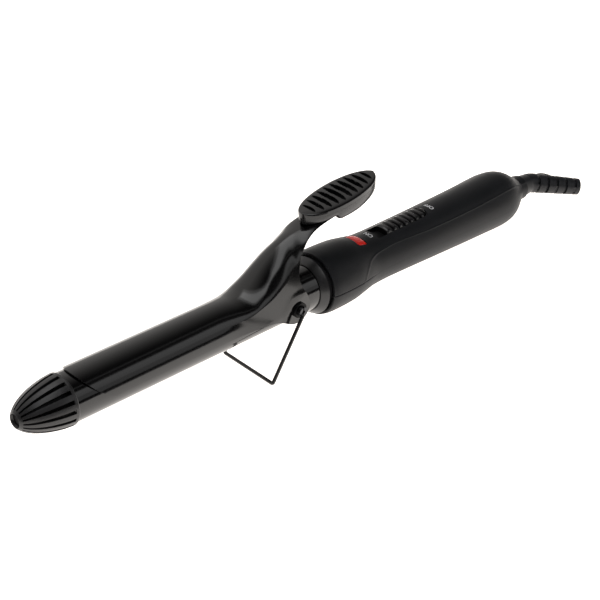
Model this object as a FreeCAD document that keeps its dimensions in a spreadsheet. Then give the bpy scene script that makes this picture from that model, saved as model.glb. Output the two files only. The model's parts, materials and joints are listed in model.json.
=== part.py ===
import FreeCAD, Part
import math
import os
import re
import Sketcher

# Curling iron with a 25 mm barrel, in millimetres.
# Every sub-part is drawn in the iron's own axes: X runs along the barrel from the tip to the
# cord, Z is up and Y goes to the far side of somebody who holds the tip to the left.
# One common placement then stands the iron on its wire stand and on the rear of its handle:
# Z = 0 is the table, and the origin is the middle of the iron's box on that table.

DIMENSIONS = {
    # barrel and tip
    "barrel_radius": 12.5,
    "barrel_wall": 0.8,
    "barrel_front": 24.4,
    "barrel_rear": 203.0,
    "cap_length": 26.4,
    "cap_radius": 13.2,
    "cap_wall": 1.6,
    "cap_hole_radius": 3.2,
    "cap_spigot_end": 38.0,
    "cap_slot_count": 17,
    # collar and handle
    "collar_front": 181.0,
    "collar_radius": 15.9,
    "bell_front": 187.0,
    "bell_radius": 17.9,
    "waist_radius": 14.5,
    "waist_station": 238.0,
    "rear_radius": 16.3,
    "rear_station": 333.0,
    "handle_end": 364.5,
    "handle_hole_radius": 7.2,
    "shell_wall": 2.0,
    # hinge
    "hinge_station": 162.3,
    "hinge_height": 1.4,
    "stud_radius": 1.95,
    "ear_hole_radius": 2.0,
    "spacer_radius": 2.6,
    "stud_end": 18.9,
    "washer_radius": 4.2,
    "washer_thickness": 1.3,
    "ear_inner": 14.5,
    "ear_radius": 8.0,
    "wire_bore_radius": 1.06,
    # clamp
    "clamp_gap": 0.3,
    "sheet_thickness": 0.7,
    "clamp_front": 29.0,
    "tongue_rise": 17.0,
    # thumb rest
    "rest_length": 54.0,
    "rest_half_width": 8.8,
    "rest_station": 201.0,
    "rest_height": 50.0,
    "rest_slope": 8.2,
    "rest_top_thickness": 3.2,
    "rest_base_depth": 7.0,
    # stand
    "wire_radius": 1.0,
    "stand_reach": 42.1,
    "stand_lean": 27.3,
    "stand_half_width": 17.5,
    "stand_top_half_width": 21.0,
    "stand_wire_end": 13.4,
    # switch and lamp
    "slot_front": 232.5,
    "slot_rear": 275.5,
    "slot_half_width": 5.0,
    "knob_length": 36.0,
    "knob_top": 15.9,
    "knob_rib_pitch": 4.5,
    "lamp_station": 219.6,
    "lamp_half_width": 6.1,
    "lamp_half_length": 2.3,
    # heater and electrics
    "heater_front": 62.0,
    "heater_length": 36.0,
    "board_height": 3.0,
    "board_front": 214.0,
    "board_length": 66.0,
    # cord guard
    "guard_root_radius": 6.9,
    "guard_radius": 5.9,
    "guard_end_radius": 5.0,
    "guard_straight": 10.0,
    "guard_bend_radius": 9.0,
    "guard_sleeve": 30.0,
    "guard_yaw": 33.0,
    "guard_droop": 7.0,
    "cord_bore_radius": 2.9,
}

doc = FreeCAD.newDocument("curling_iron")
sheet = doc.addObject("Spreadsheet::Sheet", "dims")
for row, (alias, value) in enumerate(DIMENSIONS.items(), start=1):
    sheet.set("A%d" % row, alias)
    sheet.set("B%d" % row, str(value))
    sheet.setAlias("B%d" % row, alias)
doc.recompute()

X_AXIS = FreeCAD.Vector(1, 0, 0)
Y_AXIS = FreeCAD.Vector(0, 1, 0)
Z_AXIS = FreeCAD.Vector(0, 0, 1)

sub_parts = []


def terms(expression):
    """An expression over the sheet's aliases, as another object has to write it."""
    return re.sub(r"\b([a-z]+_[a-z_]+)\b", r"dims.\1", str(expression))


def size(expression):
    """The value of an expression over the sheet's aliases."""
    value = sheet.evalExpression(str(expression))
    return float(getattr(value, "Value", value))


def name_sub_part(thing, label):
    """Make a finished document object one of the iron's sub-parts."""
    thing.Label = label
    sub_parts.append(thing)
    return thing


# ---------------------------------------------------------------- sketches and bodies

def new_body(label):
    return name_sub_part(doc.addObject("PartDesign::Body", "body_" + label), label)


def sketch_on(body, role, offset="0"):
    """A sketch on one of the body's own origin planes, moved along the plane's normal."""
    sketch = body.newObject("Sketcher::SketchObject", "sketch")
    plane = [one for one in body.Origin.OriginFeatures if one.Role == role][0]
    sketch.AttachmentSupport = [(plane, "")]
    sketch.MapMode = "FlatFace"
    if offset != "0":
        sketch.AttachmentOffset = FreeCAD.Placement(
            FreeCAD.Vector(0, 0, size(offset)), FreeCAD.Rotation())
        sketch.setExpression(".AttachmentOffset.Base.z", terms(offset))
    return sketch


def pin_point(sketch, piece, end, place):
    """Bind one point of a sketch to two expressions."""
    for kind, expression, other_axis in (("DistanceX", place[0], -2), ("DistanceY", place[1], -1)):
        value = size(expression)
        if abs(value) < 1e-9:
            sketch.addConstraint(Sketcher.Constraint("PointOnObject", piece, end, other_axis))
            continue
        index = sketch.addConstraint(Sketcher.Constraint(kind, piece, end, value))
        sketch.setExpression("Constraints[%d]" % index, terms(expression))


def outline(sketch, corners):
    """A closed outline with straight sides through corners given as pairs of expressions."""
    points = [FreeCAD.Vector(size(across), size(up), 0) for across, up in corners]
    first = sketch.GeometryCount
    count = len(points)
    for index, point in enumerate(points):
        sketch.addGeometry(Part.LineSegment(point, points[(index + 1) % count]), False)
    for index, corner in enumerate(corners):
        following = first + (index + 1) % count
        sketch.addConstraint(Sketcher.Constraint("Coincident", first + index, 2, following, 1))
        pin_point(sketch, first + index, 1, corner)


def circle(sketch, radius, across="0", up="0"):
    """A circle whose radius and centre are expressions."""
    centre = FreeCAD.Vector(size(across), size(up), 0)
    index = sketch.addGeometry(Part.Circle(centre, Z_AXIS, size(radius)), False)
    bound = sketch.addConstraint(Sketcher.Constraint("Radius", index, size(radius)))
    sketch.setExpression("Constraints[%d]" % bound, terms(radius))
    pin_point(sketch, index, 3, (across, up))


def curve_outline(sketch, stations, corners):
    """A closed outline: one smooth curve through stations, then straight sides."""
    curve = Part.BSplineCurve()
    curve.interpolate([FreeCAD.Vector(size(x), size(r), 0) for x, r in stations])
    first = sketch.addGeometry(curve, False)
    points = [stations[-1]] + list(corners) + [stations[0]]
    vectors = [FreeCAD.Vector(size(x), size(r), 0) for x, r in points]
    for index in range(len(vectors) - 1):
        sketch.addGeometry(Part.LineSegment(vectors[index], vectors[index + 1]), False)
    lines = len(vectors) - 1
    sketch.addConstraint(Sketcher.Constraint("Coincident", first, 2, first + 1, 1))
    for index in range(lines - 1):
        joined = first + 1 + index
        sketch.addConstraint(Sketcher.Constraint("Coincident", joined, 2, joined + 1, 1))
        pin_point(sketch, joined, 2, points[index + 1])
    sketch.addConstraint(Sketcher.Constraint("Coincident", first + lines, 2, first, 1))


def revolve(body, sketch, angle=360, downwards=False):
    """Turn a sketch of the XY plane about the iron's axis."""
    feature = body.newObject("PartDesign::Revolution", "turned")
    feature.Profile = sketch
    feature.ReferenceAxis = (sketch, ["H_Axis"])
    feature.Angle = angle
    feature.Reversed = downwards
    return feature


def turned_body(label, corners):
    """A body turned about the iron's axis from a straight-sided outline of (x, radius)."""
    body = new_body(label)
    sketch = sketch_on(body, "XY_Plane")
    outline(sketch, corners)
    revolve(body, sketch)
    return body


def pad(body, sketch, length, backwards=False, both_sides=False):
    feature = body.newObject("PartDesign::Pad", "pad")
    feature.Profile = sketch
    feature.Length = size(length)
    feature.setExpression("Length", terms(length))
    feature.Reversed = backwards
    feature.Midplane = both_sides
    return feature


def pocket(body, sketch, length, backwards=False, both_sides=False):
    feature = body.newObject("PartDesign::Pocket", "pocket")
    feature.Profile = sketch
    feature.Length = size(length)
    feature.setExpression("Length", terms(length))
    feature.Reversed = backwards
    feature.Midplane = both_sides
    return feature


def checked_cut(body, feature):
    """Stop if a cut took nothing away from the body."""
    doc.recompute()
    before = feature.BaseFeature.Shape.Volume
    after = feature.Shape.Volume
    if not after < before - 1e-6:
        raise RuntimeError("%s of %s cuts nothing" % (feature.Name, body.Label))


def polar(body, feature, count):
    """Repeat a feature round the iron's axis."""
    pattern = body.newObject("PartDesign::PolarPattern", "pattern")
    axis = [one for one in body.Origin.OriginFeatures if one.Role == "X_Axis"][0]
    pattern.Originals = [feature]
    pattern.Axis = (axis, [""])
    pattern.Angle = 360
    pattern.Occurrences = int(size(count))
    pattern.setExpression("Occurrences", terms(count))
    body.Tip = pattern
    return pattern


# ---------------------------------------------------------------- primitives

def bind(thing, **expressions):
    for field, expression in expressions.items():
        thing.setExpression(field, terms(expression))


def block(name, length, width, height, corner):
    """A box from its least corner, every field an expression."""
    thing = doc.addObject("Part::Box", name)
    bind(thing, Length=length, Width=width, Height=height)
    for axis, expression in zip("xyz", corner):
        thing.setExpression("Placement.Base." + axis, terms(expression))
    return thing


def rod(name, radius, length, start, direction=X_AXIS):
    """A cylinder from its first end, every size an expression."""
    thing = doc.addObject("Part::Cylinder", name)
    bind(thing, Radius=radius, Height=length)
    thing.Placement = FreeCAD.Placement(FreeCAD.Vector(), FreeCAD.Rotation(Z_AXIS, direction))
    for axis, expression in zip("xyz", start):
        thing.setExpression("Placement.Base." + axis, terms(expression))
    return thing


def joined(name, things):
    """Several objects grown together."""
    fused = doc.addObject("Part::MultiFuse", name)
    fused.Shapes = things
    fused.Refine = True
    return fused


def cut(name, base, tool):
    result = doc.addObject("Part::Cut", name)
    result.Base = base
    result.Tool = tool
    return result


def group(label, things):
    """Identical pieces that share one node as separate solids."""
    compound = doc.addObject("Part::Compound", "group_" + label)
    compound.Links = things
    return name_sub_part(compound, label)


# ---------------------------------------------------------------- barrel and tip

def make_barrel_tube():
    body = turned_body("barrel_tube", [
        ("barrel_front", "barrel_radius - barrel_wall"),
        ("barrel_front", "barrel_radius"),
        ("barrel_rear", "barrel_radius"),
        ("barrel_rear", "barrel_radius - barrel_wall")])
    holes = sketch_on(body, "XZ_Plane")
    circle(holes, "stud_radius", "hinge_station", "hinge_height")
    checked_cut(body, pocket(body, holes, "barrel_radius * 3", both_sides=True))


def make_tip_cap():
    body = new_body("tip_cap")
    sketch = sketch_on(body, "XY_Plane")
    dome = [("0", "cap_hole_radius"),
            ("cap_length * 0.08", "cap_radius * 0.46"),
            ("cap_length * 0.28", "cap_radius * 0.69"),
            ("cap_length * 0.58", "cap_radius * 0.89"),
            ("cap_length", "cap_radius")]
    inner = "barrel_radius - barrel_wall - 0.05"
    curve_outline(sketch, dome, [
        ("cap_length", "barrel_radius + 0.05"),
        ("barrel_front", "barrel_radius + 0.05"),
        ("barrel_front", inner),
        ("cap_spigot_end", inner),
        ("cap_spigot_end", inner + " - cap_wall"),
        ("cap_length * 0.6", "cap_radius * 0.89 - cap_wall"),
        ("cap_length * 0.3", "cap_radius * 0.69 - cap_wall"),
        ("cap_wall", "cap_hole_radius + 0.6"),
        ("cap_wall", "cap_hole_radius")])
    revolve(body, sketch)
    slot = sketch_on(body, "XY_Plane")
    outline(slot, [
        ("cap_length * 0.13", "-0.35"),
        ("cap_length * 0.86", "-1.15"),
        ("cap_length * 0.86", "1.15"),
        ("cap_length * 0.13", "0.35")])
    opening = pocket(body, slot, "cap_radius * 1.5", backwards=True)
    checked_cut(body, opening)
    polar(body, opening, "cap_slot_count")


# ---------------------------------------------------------------- collar and handle

def handle_radius_stations():
    """Outside of the handle as (station, radius) from the bell to the cord end."""
    return [("bell_front", "bell_radius - 0.7"),
            ("bell_front + 3", "bell_radius - 0.05"),
            ("bell_front + 14", "bell_radius"),
            ("bell_front + 23", "bell_radius - 0.6"),
            ("bell_front + 36", "waist_radius + 0.75"),
            ("waist_station", "waist_radius"),
            ("waist_station + 38", "waist_radius + 0.65"),
            ("rear_station", "rear_radius"),
            ("rear_station + 9", "rear_radius - 0.5"),
            ("rear_station + 17", "rear_radius - 2.4"),
            ("rear_station + 23", "rear_radius - 5.1"),
            ("handle_end", "handle_hole_radius + 0.3")]


def shell_section():
    """Straight inner sides of a handle shell, from the cord end back to the bell."""
    return [("handle_end", "handle_hole_radius"),
            ("handle_end - 3", "handle_hole_radius"),
            ("rear_station + 18", "rear_radius - shell_wall - 4.4"),
            ("rear_station + 3", "rear_radius - shell_wall - 0.3"),
            ("waist_station + 36", "waist_radius - shell_wall + 0.3"),
            ("waist_station - 2", "waist_radius - shell_wall"),
            ("bell_front + 37", "waist_radius - shell_wall"),
            ("bell_front + 24", "bell_radius - shell_wall - 0.9"),
            ("bell_front + 1", "bell_radius - shell_wall")]


def make_handle_shell(label, downwards):
    """One half of the handle with its screw posts; the two halves part in the XY plane."""
    body = new_body(label)
    section = sketch_on(body, "XY_Plane")
    curve_outline(section, handle_radius_stations(), shell_section())
    revolve(body, section, 180, downwards)
    bores = sketch_on(body, "XY_Plane")
    for station, height in SCREW_POSTS:
        post = sketch_on(body, "XY_Plane")
        circle(post, "2.9", station)
        pad(body, post, height, backwards=downwards)
        circle(bores, "1.25" if downwards else "1.0", station)
    depth = "rear_radius + 2" if downwards else "waist_radius - shell_wall - 2"
    checked_cut(body, pocket(body, bores, depth, backwards=not downwards))
    return body


# Station of each screw post, and its height up to the inside of the shell.
SCREW_POSTS = (("211", "bell_radius - 1.6"), ("286", "waist_radius - 0.6"),
               ("326", "rear_radius - 1.3"))
SCREW_STATIONS = [station for station, _ in SCREW_POSTS]
SCREW_SEAT = "-7.5"


def make_handle_shells():
    top = make_handle_shell("handle_top_shell", False)
    slot = sketch_on(top, "XY_Plane")
    outline(slot, [
        ("slot_front", "-slot_half_width"),
        ("slot_rear", "-slot_half_width"),
        ("slot_rear", "slot_half_width"),
        ("slot_front", "slot_half_width")])
    window = [("lamp_station - lamp_half_length - 0.1", "-lamp_half_width - 0.1"),
              ("lamp_station + lamp_half_length + 0.1", "-lamp_half_width - 0.1"),
              ("lamp_station + lamp_half_length + 0.1", "lamp_half_width + 0.1"),
              ("lamp_station - lamp_half_length - 0.1", "lamp_half_width + 0.1")]
    outline(slot, window)
    checked_cut(top, pocket(top, slot, "bell_radius * 2", backwards=True))
    bottom = make_handle_shell("handle_bottom_shell", True)
    recess = sketch_on(bottom, "XY_Plane", SCREW_SEAT)
    for station in SCREW_STATIONS:
        circle(recess, "2.3", station)
    checked_cut(bottom, pocket(bottom, recess, "rear_radius", backwards=False))


def make_collar():
    turned_body("collar_ring", [
        ("collar_front", "barrel_radius + 0.05"),
        ("collar_front", "collar_radius - 0.7"),
        ("collar_front + 0.7", "collar_radius"),
        ("bell_front - 2.3", "collar_radius"),
        ("bell_front - 2.3", "collar_radius - 1.3"),
        ("bell_front + 8", "collar_radius - 1.3"),
        ("bell_front + 8", "barrel_radius + 0.05")])
    turned_body("barrel_bush", [
        ("bell_front + 8.2", "barrel_radius + 0.05"),
        ("bell_front + 8.2", "bell_radius - shell_wall - 0.6"),
        ("bell_front + 13", "bell_radius - shell_wall - 0.6"),
        ("bell_front + 13", "collar_radius - 1.5"),
        ("barrel_rear + 2", "collar_radius - 1.5"),
        ("barrel_rear + 2", "barrel_radius - 3.5"),
        ("barrel_rear + 0.1", "barrel_radius - 3.5"),
        ("barrel_rear + 0.1", "barrel_radius + 0.05")])


def make_housing_screws():
    screws = []
    for station in SCREW_STATIONS:
        head = rod("screw_head", "2.1", "1.6", (station, "0", SCREW_SEAT + " - 1.6"), Z_AXIS)
        shank = rod("screw_shank", "1.0", "14.5", (station, "0", SCREW_SEAT), Z_AXIS)
        whole = joined("screw", [head, shank])
        cross = [block("recess", "2.4", "0.5", "0.9", (station + " - 1.2", "-0.25",
                                                         SCREW_SEAT + " - 1.7")),
                 block("recess", "0.5", "2.4", "0.9", (station + " - 0.25", "-1.2",
                                                         SCREW_SEAT + " - 1.7"))]
        screws.append(cut("housing_screw", whole, joined("cross_recess", cross)))
    group("housing_screws", screws)


# ---------------------------------------------------------------- hinge

SIDES = (("near", -1, -Y_AXIS), ("far", 1, Y_AXIS))


def across(side, distance):
    """A Y coordinate on the near or the far side."""
    return ("-(%s)" if side < 0 else "(%s)") % distance


def make_pivot_studs():
    """Stepped studs riveted through the barrel, bored for the ends of the wire stand."""
    studs = []
    for word, side, outwards in SIDES:
        def step(radius, first, last, side=side, outwards=outwards):
            start = ("hinge_station", across(side, first), "hinge_height")
            return rod("stud_step", radius, "(%s) - (%s)" % (last, first), start, outwards)
        solid = joined("stud_" + word, [
            step("3.1", "9.6", "10.6"),
            step("stud_radius", "10.6", "stud_end"),
            step("spacer_radius", "barrel_radius + 0.2", "ear_inner - 0.15"),
            step("2.7", "ear_inner + sheet_thickness + washer_thickness + 0.5", "stud_end")])
        bore = step("wire_bore_radius", "stand_wire_end - 0.6", "stud_end + 1")
        slot = block("slot", "0.8", "1.2", "7", ("hinge_station - 0.4",
                     across(side, "stud_end - 0.6") + " - 0.6", "hinge_height - 3.5"))
        studs.append(cut("bored_stud_" + word, solid, joined("stud_cuts", [bore, slot])))
    group("pivot_studs", studs)


def make_pivot_washers():
    washers = []
    for word, side, outwards in SIDES:
        first = "ear_inner + sheet_thickness + 0.25"
        start = ("hinge_station", across(side, first), "hinge_height")
        disc = rod("washer_disc", "washer_radius", "washer_thickness", start, outwards)
        hole = rod("washer_hole", "stud_radius + 0.02", "washer_thickness", start, outwards)
        washers.append(cut("washer_" + word, disc, hole))
    group("pivot_washers", washers)


def make_clamp_springs():
    """Torsion springs round the stud spacers, behind the ears of the lever."""
    wire = 0.3
    pitch = 0.66
    leg = 7.5
    helix = Part.makeHelix(pitch, pitch * 1.5, size("spacer_radius") + 0.55)
    first = helix.Vertexes[0].Point
    last = helix.Vertexes[-1].Point
    free_end = first - Y_AXIS * leg
    path = Part.Wire([Part.LineSegment(free_end, first).toShape()] + helix.Edges
                     + [Part.LineSegment(last, last - Y_AXIS * leg).toShape()])
    ring = Part.Wire(Part.Circle(free_end, Y_AXIS, wire).toShape())
    far_spring = path.makePipeShell([ring], True, True)
    seat = FreeCAD.Vector(size("hinge_station"), size("barrel_radius") + 0.38,
                          size("hinge_height"))
    far_spring.Placement = FreeCAD.Placement(seat, FreeCAD.Rotation(X_AXIS, -90))
    springs = []
    for word, shape in (("far", far_spring), ("near", far_spring.mirror(seat * 0, Y_AXIS))):
        spring = doc.addObject("Part::Feature", "spring_" + word)
        spring.Shape = shape
        springs.append(spring)
    group("clamp_springs", springs)


# ---------------------------------------------------------------- clamp and lever

# The lever as sections square to its back: station and height of the back, slope of the back
# in degrees, half width, and depth of the rounded back down to the crease.
LEVER_SECTIONS = (
    (110.0, 13.5, 0.0, 13.5, 9.0),
    (122.0, 13.7, 4.0, 13.7, 8.5),
    (131.0, 16.8, 30.0, 14.3, 9.0),
    (140.0, 22.6, 36.0, 15.0, 10.0),
    (148.0, 28.2, 33.0, 15.0, 10.5),
    (156.0, 33.0, 27.0, 14.8, 10.0),
    (164.0, 36.5, 21.0, 12.6, 7.2),
    (173.0, 39.4, 14.0, 9.0, 3.6),
    (181.0, 41.1, 9.0, 7.4, 2.2),
    (214.0, 45.9, 8.2, 5.5, 1.8),
)


def lever_section(station, height, slope, half_width, depth, sheet):
    """Closed wire of one section of the bent sheet, crown outside and hollow inside."""
    tilt = math.radians(slope)
    down = FreeCAD.Vector(math.sin(tilt), 0, -math.cos(tilt))
    back = FreeCAD.Vector(station, 0, height)

    def arch(inset):
        points = []
        for step in range(9):
            angle = math.pi * step / 8
            side = -(half_width - inset) * math.cos(angle)
            drop = depth - (depth - inset) * math.sin(angle)
            points.append(back + down * drop + Y_AXIS * side)
        curve = Part.BSplineCurve()
        curve.interpolate(points)
        return curve.toShape(), points[0], points[-1]

    outer, outer_near, outer_far = arch(0.0)
    inner, inner_near, inner_far = arch(sheet)
    return Part.Wire([outer, Part.makeLine(outer_far, inner_far), inner,
                      Part.makeLine(inner_near, outer_near)])


def make_clamp_plate():
    sheet_size = size("sheet_thickness")
    inner = size("barrel_radius + clamp_gap")
    front = size("clamp_front")
    root = LEVER_SECTIONS[0][0]
    half_pipe = Part.makeCylinder(inner + sheet_size, root + 14 - front,
                                  FreeCAD.Vector(front, 0, 0), X_AXIS, 360)
    hollow = Part.makeCylinder(inner, root + 16 - front, FreeCAD.Vector(front - 1, 0, 0), X_AXIS)
    half_pipe = half_pipe.cut(hollow)
    wide = 40
    half_pipe = half_pipe.common(Part.makeBox(
        wide * 8, wide, wide, FreeCAD.Vector(0, -wide / 2, 0)))
    # The front is a rounded tongue: a long arc seen from above.
    rise = size("tongue_rise")
    reach = inner + sheet_size
    tongue = Part.Wire([
        Part.Arc(FreeCAD.Vector(front + rise, -reach, -1), FreeCAD.Vector(front, 0, -1),
                 FreeCAD.Vector(front + rise, reach, -1)).toShape(),
        Part.makeLine(FreeCAD.Vector(front + rise, reach, -1),
                      FreeCAD.Vector(300, reach, -1)),
        Part.makeLine(FreeCAD.Vector(300, reach, -1), FreeCAD.Vector(300, -reach, -1)),
        Part.makeLine(FreeCAD.Vector(300, -reach, -1),
                      FreeCAD.Vector(front + rise, -reach, -1))])
    half_pipe = half_pipe.common(Part.Face(tongue).extrude(Z_AXIS * 40))

    sections = [lever_section(*row, sheet_size) for row in LEVER_SECTIONS]
    lever = Part.makeLoft(sections, True, True)

    def side_plate(side):
        """Flat side of the lever with the round ear that the stud goes through."""
        inner_face = size("ear_inner")
        corners = [(112, 0), (112, 7), (124, 7.5), (133, 10), (145.5, 15), (153, 19.5),
                   (161, 25), (165.5, 31.0), (164.4, 24.7), (164.2, 18.9), (165.4, 14),
                   (168.6, 7.7), (170.2, 3.2)]
        lower = [(157.5, -5.0), (150, -1.5), (140, 0)]
        points = [FreeCAD.Vector(x, inner_face * side, z) for x, z in corners + lower]
        plate = Part.Face(Part.makePolygon(points + points[:1]))
        plate = plate.extrude(Y_AXIS * (side * sheet_size))
        hinge = FreeCAD.Vector(size("hinge_station"), inner_face * side, size("hinge_height"))
        ear = Part.makeCylinder(size("ear_radius"), sheet_size, hinge, Y_AXIS * side)
        hole = Part.makeCylinder(size("ear_hole_radius"), sheet_size + 2,
                                 hinge - Y_AXIS * side, Y_AXIS * side)
        return plate.fuse(ear).cut(hole)

    whole = half_pipe.multiFuse([lever, side_plate(-1), side_plate(1)])
    clamp = doc.addObject("Part::Feature", "clamp_plate")
    clamp.Shape = whole
    name_sub_part(clamp, "clamp_plate")


def leaf_wire(half_length, half_width, level):
    """Pointed oval of two arcs, as the thumb rest is seen from above."""
    tip = FreeCAD.Vector(half_length, 0, level)
    tail = FreeCAD.Vector(-half_length, 0, level)
    near = Part.Arc(tail, FreeCAD.Vector(0, -half_width, level), tip).toShape()
    far = Part.Arc(tip, FreeCAD.Vector(0, half_width, level), tail).toShape()
    return Part.Wire([near, far])


def make_thumb_rest():
    """Two-piece thumb rest that traps the tongue of the lever."""
    half_length = size("rest_length") / 2
    half_width = size("rest_half_width")
    top_thickness = size("rest_top_thickness")
    depth = size("rest_base_depth")
    seat = FreeCAD.Placement(
        FreeCAD.Vector(size("rest_station"), 0, size("rest_height")),
        FreeCAD.Rotation(Y_AXIS, -size("rest_slope")))
    top = Part.Face(leaf_wire(half_length, half_width, -top_thickness)).extrude(
        Z_AXIS * top_thickness)
    grooves = 9
    for index in range(grooves):
        along = (index - (grooves - 1) / 2) * 4.6
        reach = half_width * (1 - (along / half_length) ** 2) - 1.6
        groove = Part.makeCylinder(1.25, 2 * reach, FreeCAD.Vector(along, -reach, 0.3), Y_AXIS)
        top = top.cut(groove)
    base = Part.makeLoft([
        leaf_wire(half_length - 0.3, half_width - 0.3, -top_thickness),
        leaf_wire(half_length - 4.0, half_width - 1.2, -top_thickness - depth)], True, True)
    pocket_width = 13.4
    channel = Part.makeBox(half_length + 10, pocket_width, 3.4, FreeCAD.Vector(
        -half_length - 5, -pocket_width / 2, -top_thickness - 3.2))
    base = base.cut(channel)
    screws = []
    for along in (-6.0, 5.0):
        shank = Part.makeCylinder(0.9, 6.5, FreeCAD.Vector(along, 0, -top_thickness - depth + 1.4))
        head = Part.makeCylinder(1.9, 1.3, FreeCAD.Vector(along, 0, -top_thickness - depth + 0.2))
        hole = Part.makeCylinder(0.95, 12, FreeCAD.Vector(along, 0, -12))
        sink = Part.makeCylinder(2.0, 3, FreeCAD.Vector(along, 0, -top_thickness - depth - 1.5))
        base = base.cut(hole).cut(sink)
        screws.append(head.fuse(shank))
    for label, shape in (("thumb_rest_top", top), ("thumb_rest_base", base),
                         ("thumb_rest_screws", Part.makeCompound(screws))):
        piece = doc.addObject("Part::Feature", label)
        piece.Shape = shape
        piece.Placement = seat
        name_sub_part(piece, label)


# ---------------------------------------------------------------- wire stand

def make_stand():
    """One bent wire: two legs, a cross-bar and two ends that turn into the studs."""
    body = new_body("stand_wire")
    path = sketch_on(body, "XY_Plane")
    reach = size("stand_reach")
    bottom = size("stand_half_width")
    top = size("stand_top_half_width")
    end = size("stand_wire_end")
    corners = [(0, -end), (0, -top), (reach, -bottom), (reach, bottom), (0, top), (0, end)]
    radii = [0, 2.6, 3.4, 3.4, 2.6, 0]
    vectors = [FreeCAD.Vector(x, y, 0) for x, y in corners]
    entry = vectors[0]
    for index in range(1, len(vectors) - 1):
        corner = vectors[index]
        before = (vectors[index - 1] - corner).normalize()
        after = (vectors[index + 1] - corner).normalize()
        half_turn = before.getAngle(after) / 2
        tangent = radii[index] / math.tan(half_turn)
        first = corner + before * tangent
        last = corner + after * tangent
        inward = (before + after).normalize()
        middle = corner + inward * (radii[index] / math.sin(half_turn) - radii[index])
        path.addGeometry(Part.LineSegment(entry, first), False)
        path.addGeometry(Part.Arc(first, middle, last), False)
        entry = last
    path.addGeometry(Part.LineSegment(entry, vectors[-1]), False)
    section = sketch_on(body, "XZ_Plane", "stand_wire_end")
    circle(section, "wire_radius")
    sweep = body.newObject("PartDesign::AdditivePipe", "wire")
    sweep.Profile = section
    sweep.Spine = (path, [])
    lean = size("stand_lean")
    body.Placement = FreeCAD.Placement(
        FreeCAD.Vector(size("hinge_station"), 0, size("hinge_height")),
        FreeCAD.Rotation(Y_AXIS, 90 + lean))


# ---------------------------------------------------------------- switch and lamp

def make_switch():
    rear = "slot_rear - 0.5"
    front = "slot_rear - 0.5 - knob_length"
    body = new_body("switch_slider")
    plan = sketch_on(body, "XY_Plane", "knob_top - 4.2")
    outline(plan, [(front, "-slot_half_width + 0.3"), (rear, "-slot_half_width + 0.3"),
                   (rear, "slot_half_width - 0.3"), (front, "slot_half_width - 0.3")])
    pad(body, plan, "4.2")
    stem = sketch_on(body, "XY_Plane", "knob_top - 6.5")
    outline(stem, [(front + " + 8", "-2"), (rear + " - 12", "-2"),
                   (rear + " - 12", "2"), (front + " + 8", "2")])
    pad(body, stem, "2.6")
    notch = sketch_on(body, "XZ_Plane")
    for rib in range(7):
        along = front + " + 4.1 + %d * knob_rib_pitch" % rib
        outline(notch, [(along, "knob_top - 1.5"), (along + " + 0.9", "knob_top - 1.5"),
                        (along + " + 0.9", "knob_top + 1"), (along, "knob_top + 1")])
    checked_cut(body, pocket(body, notch, "slot_half_width * 3", both_sides=True))

    housing = new_body("switch_body")
    base = sketch_on(housing, "XY_Plane", "board_height + 1.7")
    outline(base, [("slot_front + 2", "-5"), ("slot_rear - 4", "-5"),
                   ("slot_rear - 4", "5"), ("slot_front + 2", "5")])
    pad(housing, base, "knob_top - 6.8 - board_height - 1.7 + 1.6")
    track = sketch_on(housing, "XY_Plane", "knob_top - 6.8")
    outline(track, [("slot_front + 2.7", "-2.4"), ("slot_rear - 5", "-2.4"),
                    ("slot_rear - 5", "2.4"), ("slot_front + 2.7", "2.4")])
    checked_cut(housing, pocket(housing, track, "3", backwards=True))

    lens = new_body("lamp_lens")
    window = sketch_on(lens, "XY_Plane", "waist_radius - 4.0")
    outline(window, [("lamp_station - lamp_half_length", "-lamp_half_width"),
                     ("lamp_station + lamp_half_length", "-lamp_half_width"),
                     ("lamp_station + lamp_half_length", "lamp_half_width"),
                     ("lamp_station - lamp_half_length", "lamp_half_width")])
    pad(lens, window, "5.2")

    lamp = joined("neon_lamp", [
        rod("lamp_glass", "1.7", "7", ("lamp_station", "-3.5", "waist_radius - 6.4"), Y_AXIS),
        rod("lamp_lead", "0.3", "waist_radius - 6.4 - board_height - 1.6",
            ("lamp_station", "-2.6", "board_height + 1.6"), Z_AXIS),
        rod("lamp_lead", "0.3", "waist_radius - 6.4 - board_height - 1.6",
            ("lamp_station", "2.6", "board_height + 1.6"), Z_AXIS)])
    name_sub_part(lamp, "neon_lamp")


# ---------------------------------------------------------------- heater and electrics

def make_heater():
    rear = "heater_front + heater_length"
    group("ptc_heater", [block("ceramic", "heater_length", "9", "2.2",
                               ("heater_front", "-4.5", "-1.1"))])
    reach = "barrel_radius - barrel_wall - 0.15"
    flat = "1.35"
    start = "heater_front - 14"
    run = "heater_length + 28"
    for label, level in (("heat_spreader_upper", flat), ("heat_spreader_lower", "-20 - " + flat)):
        half = doc.addObject("Part::Common", "half_" + label)
        half.Base = rod("round_bar", reach, run, (start, "0", "0"))
        half.Tool = block("half_space", run, "40", "20", (start, "-20", level))
        height = "6" if level == flat else "-6"
        passage = rod("passage", "2.6", run, (start, "0", height))
        name_sub_part(cut("bored_" + label, half, passage), label)
    insulators = [block("mica", rear + " - heater_front + 6", "14", "0.18",
                        ("heater_front - 3", "-7", level)) for level in ("1.13", "-1.31")]
    group("mica_sheets", insulators)
    leads = []
    for word, side in (("near", "-4.2"), ("far", "4.2")):
        leads.append(rod("lead_" + word, "0.8", "board_front - heater_front - heater_length + 8",
                         (rear, side, "0")))
    group("heater_leads", leads)
    fuse = joined("thermal_fuse", [
        rod("fuse_case", "1.9", "11", (rear + " + 16", "0", "5"), X_AXIS),
        rod("fuse_lead", "0.4", "25", (rear + " + 9", "0", "5"), X_AXIS)])
    name_sub_part(fuse, "thermal_fuse")


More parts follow.
